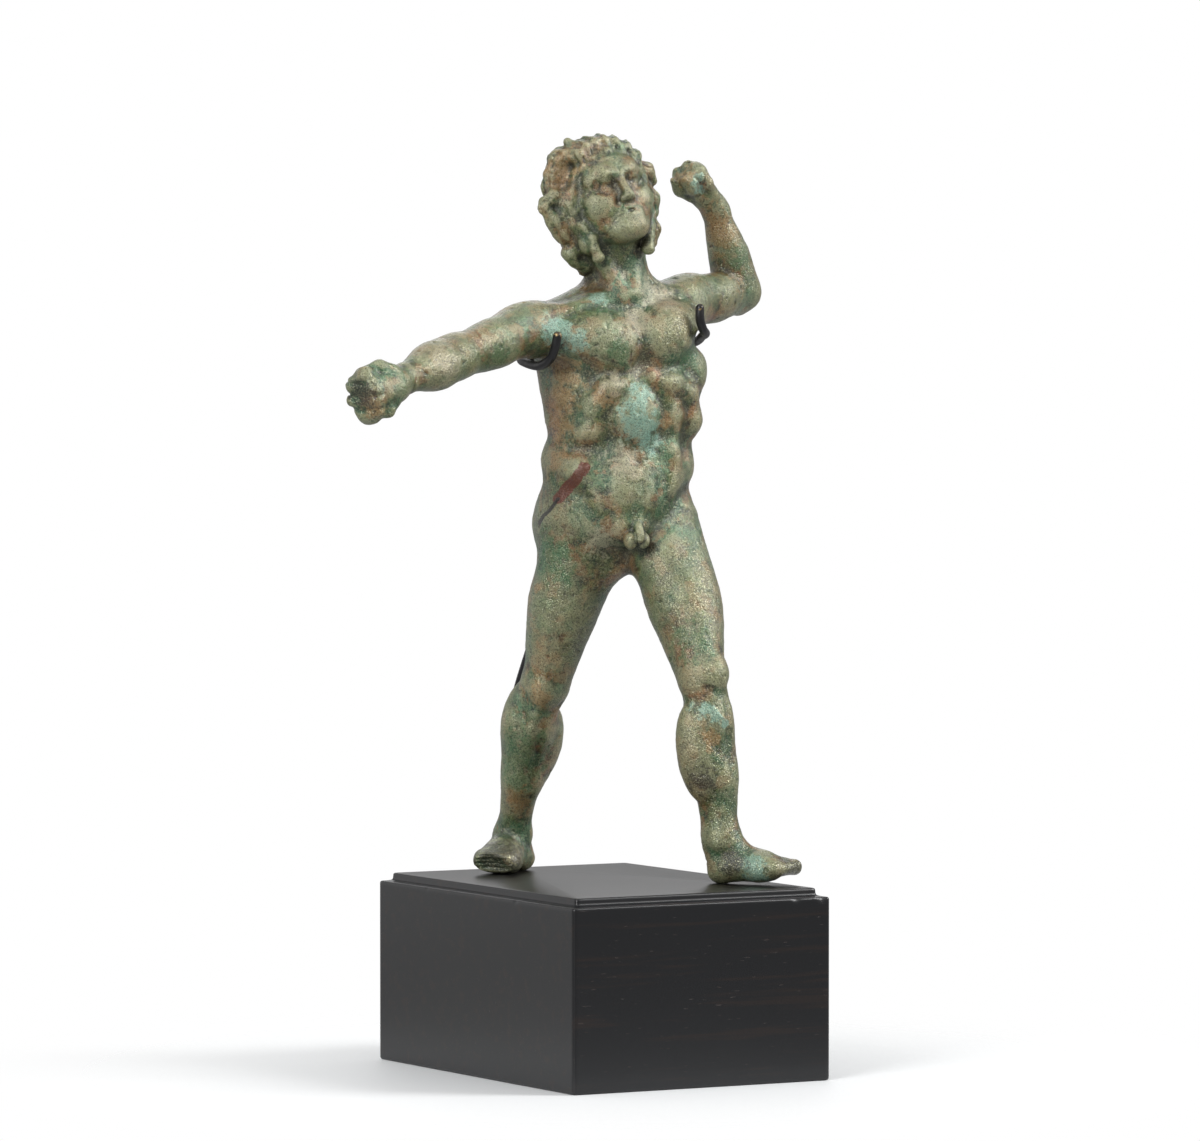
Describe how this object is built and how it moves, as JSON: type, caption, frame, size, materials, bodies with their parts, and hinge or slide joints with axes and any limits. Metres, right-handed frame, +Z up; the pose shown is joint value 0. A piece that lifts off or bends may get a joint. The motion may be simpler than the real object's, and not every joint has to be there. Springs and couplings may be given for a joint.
{
  "type": "roman bronze faun statuette",
  "caption": "Corroded bronze statuette of a striding nude young faun, one arm out and one raised, on a stepped black wooden block with a painted rod cradle.",
  "frame": {"origin": "centre of the block's underside", "axes": "+Z up; the figure's chest faces -Y and its left arm is on +X"},
  "size_m": [0.1167, 0.0856, 0.1986],
  "materials": {
    "patinated_bronze": "buried bronze with a granular olive-green patina, brown and turquoise in places",
    "black_painted_rod": "satin black paint",
    "ebonised_wood": "black stained and polished, dark brown grain"
  },
  "bodies": {
    "root": {"bronze_figure": "patinated_bronze", "rod_cradle": "black_painted_rod", "wood_block": "ebonised_wood"}
  },
  "joints": []
}
